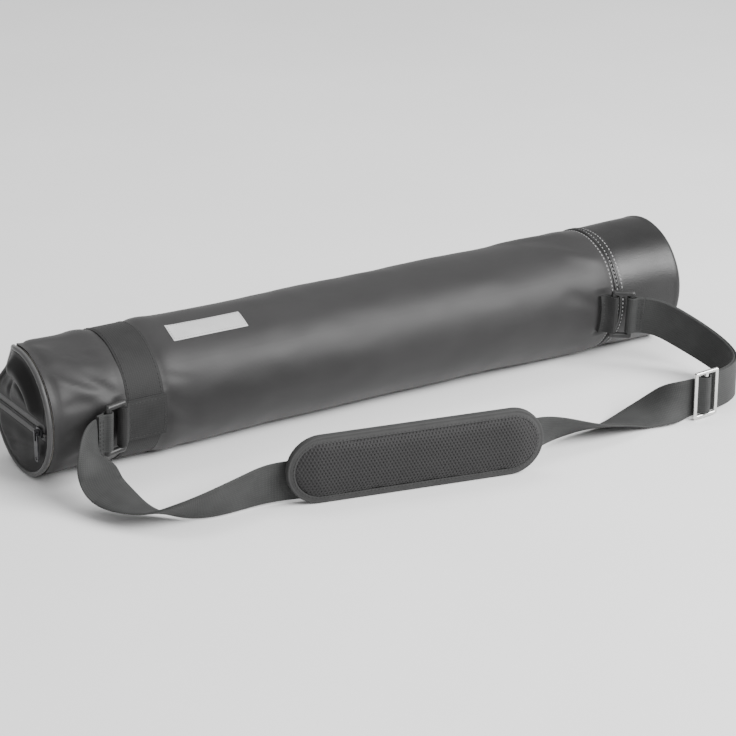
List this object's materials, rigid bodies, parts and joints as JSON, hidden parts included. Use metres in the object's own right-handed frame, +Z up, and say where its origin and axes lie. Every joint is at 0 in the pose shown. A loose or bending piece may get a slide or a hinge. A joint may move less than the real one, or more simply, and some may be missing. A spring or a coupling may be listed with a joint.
{
  "type": "padded tube bag",
  "caption": "Round padded carrying bag for a rolled-up or folded-up load: zipped end and side, leatherette base end, webbing band, two strap rings, shoulder strap with slide and pad",
  "frame": {"origin": "middle of the flat underside, on the surface that the bag lies on, under the tube's axis at mid length", "axes": "+X along the tube towards the leatherette base end, -Y to the front where the rings and the strap are, +Z up"},
  "size_m": [0.7167, 0.3121, 0.1225],
  "materials": {
    "skin_nylon": "matte woven nylon",
    "end_nylon": "matte woven nylon",
    "piping": "matte",
    "foam": "matte foam",
    "lining": "matte",
    "leatherette": "glossy",
    "board": "matte",
    "band_webbing": "matte ribbed",
    "strap_webbing": "matte ribbed",
    "zip_tape": "matte",
    "zip_coil": "satin",
    "zip_metal": "satin",
    "stop_metal": "satin",
    "blank_strip": "matte",
    "ring_plastic": "gloss",
    "slide_metal": "polished",
    "pad_mesh": "matte mesh",
    "pad_back": "matte",
    "pad_binding": "matte ribbed"
  },
  "bodies": {
    "bag": {"lower_skin": "skin_nylon", "lower_foam": "foam", "lower_lining": "lining", "lower_end_panel": "end_nylon", "lower_end_foam": "foam", "lower_piping": "piping", "base_sleeve": "leatherette", "base_sleeve_foam": "foam", "base_disc": "leatherette", "base_board": "board", "base_lining": "lining", "seam_welt": "leatherette", "lower_band": "band_webbing", "left_tab": "band_webbing", "right_tab": "band_webbing", "lower_zip_tape": "zip_tape", "lower_zip_teeth": "zip_coil", "zip_stops": "stop_metal", "strap": "strap_webbing", "strap_return": "strap_webbing"},
    "flap": {"upper_skin": "skin_nylon", "upper_foam": "foam", "upper_lining": "lining", "upper_end_panel": "end_nylon", "upper_end_foam": "foam", "upper_piping": "piping", "upper_band": "band_webbing", "upper_zip_tape": "zip_tape", "upper_zip_teeth": "zip_coil", "name_strip": "blank_strip"},
    "slider": {"zip_slider": "zip_metal"},
    "puller": {"zip_puller": "zip_metal"},
    "left_swivel": {"left_ring": "ring_plastic", "left_strap_loop": "strap_webbing"},
    "right_swivel": {"right_ring": "ring_plastic", "right_strap_loop": "strap_webbing"},
    "slide": {"strap_slide": "slide_metal", "slide_loop": "strap_webbing"},
    "pad": {"pad_foam": "foam", "pad_mesh": "pad_mesh", "pad_backing": "pad_back", "pad_binding": "pad_binding", "pad_keepers": "band_webbing"}
  },
  "joints": [
    {"name": "flap_fold", "type": "hinge", "parent": "bag", "child": "flap", "pos_m": [0, -0.05103, 0.09623], "axis": [1, 0, 0], "range_deg": [0, 65]},
    {"name": "zip_travel", "type": "slide", "parent": "bag", "child": "slider", "axis": [0, 1, 0], "range_m": [0, 0.088]},
    {"name": "puller_swing", "type": "hinge", "parent": "slider", "child": "puller", "pos_m": [-0.3597, -0.044, 0.056], "axis": [0, 1, 0], "range_deg": [0, 120]},
    {"name": "left_ring_swing", "type": "hinge", "parent": "bag", "child": "left_swivel", "pos_m": [-0.284, -0.06674, 0.05466], "axis": [0, -0.0872, 0.9962], "range_deg": [-8, 25]},
    {"name": "right_ring_swing", "type": "hinge", "parent": "bag", "child": "right_swivel", "pos_m": [0.265, -0.06674, 0.05466], "axis": [0, 0.0872, -0.9962], "range_deg": [-16, 20]},
    {"name": "strap_slide_travel", "type": "slide", "parent": "bag", "child": "slide", "axis": [0.9965, 0.083, 0], "range_m": [-0.005, 0.008]},
    {"name": "pad_travel", "type": "slide", "parent": "bag", "child": "pad", "axis": [0.9789, -0.2043, 0], "range_m": [-0.012, 0.012]}
  ]
}
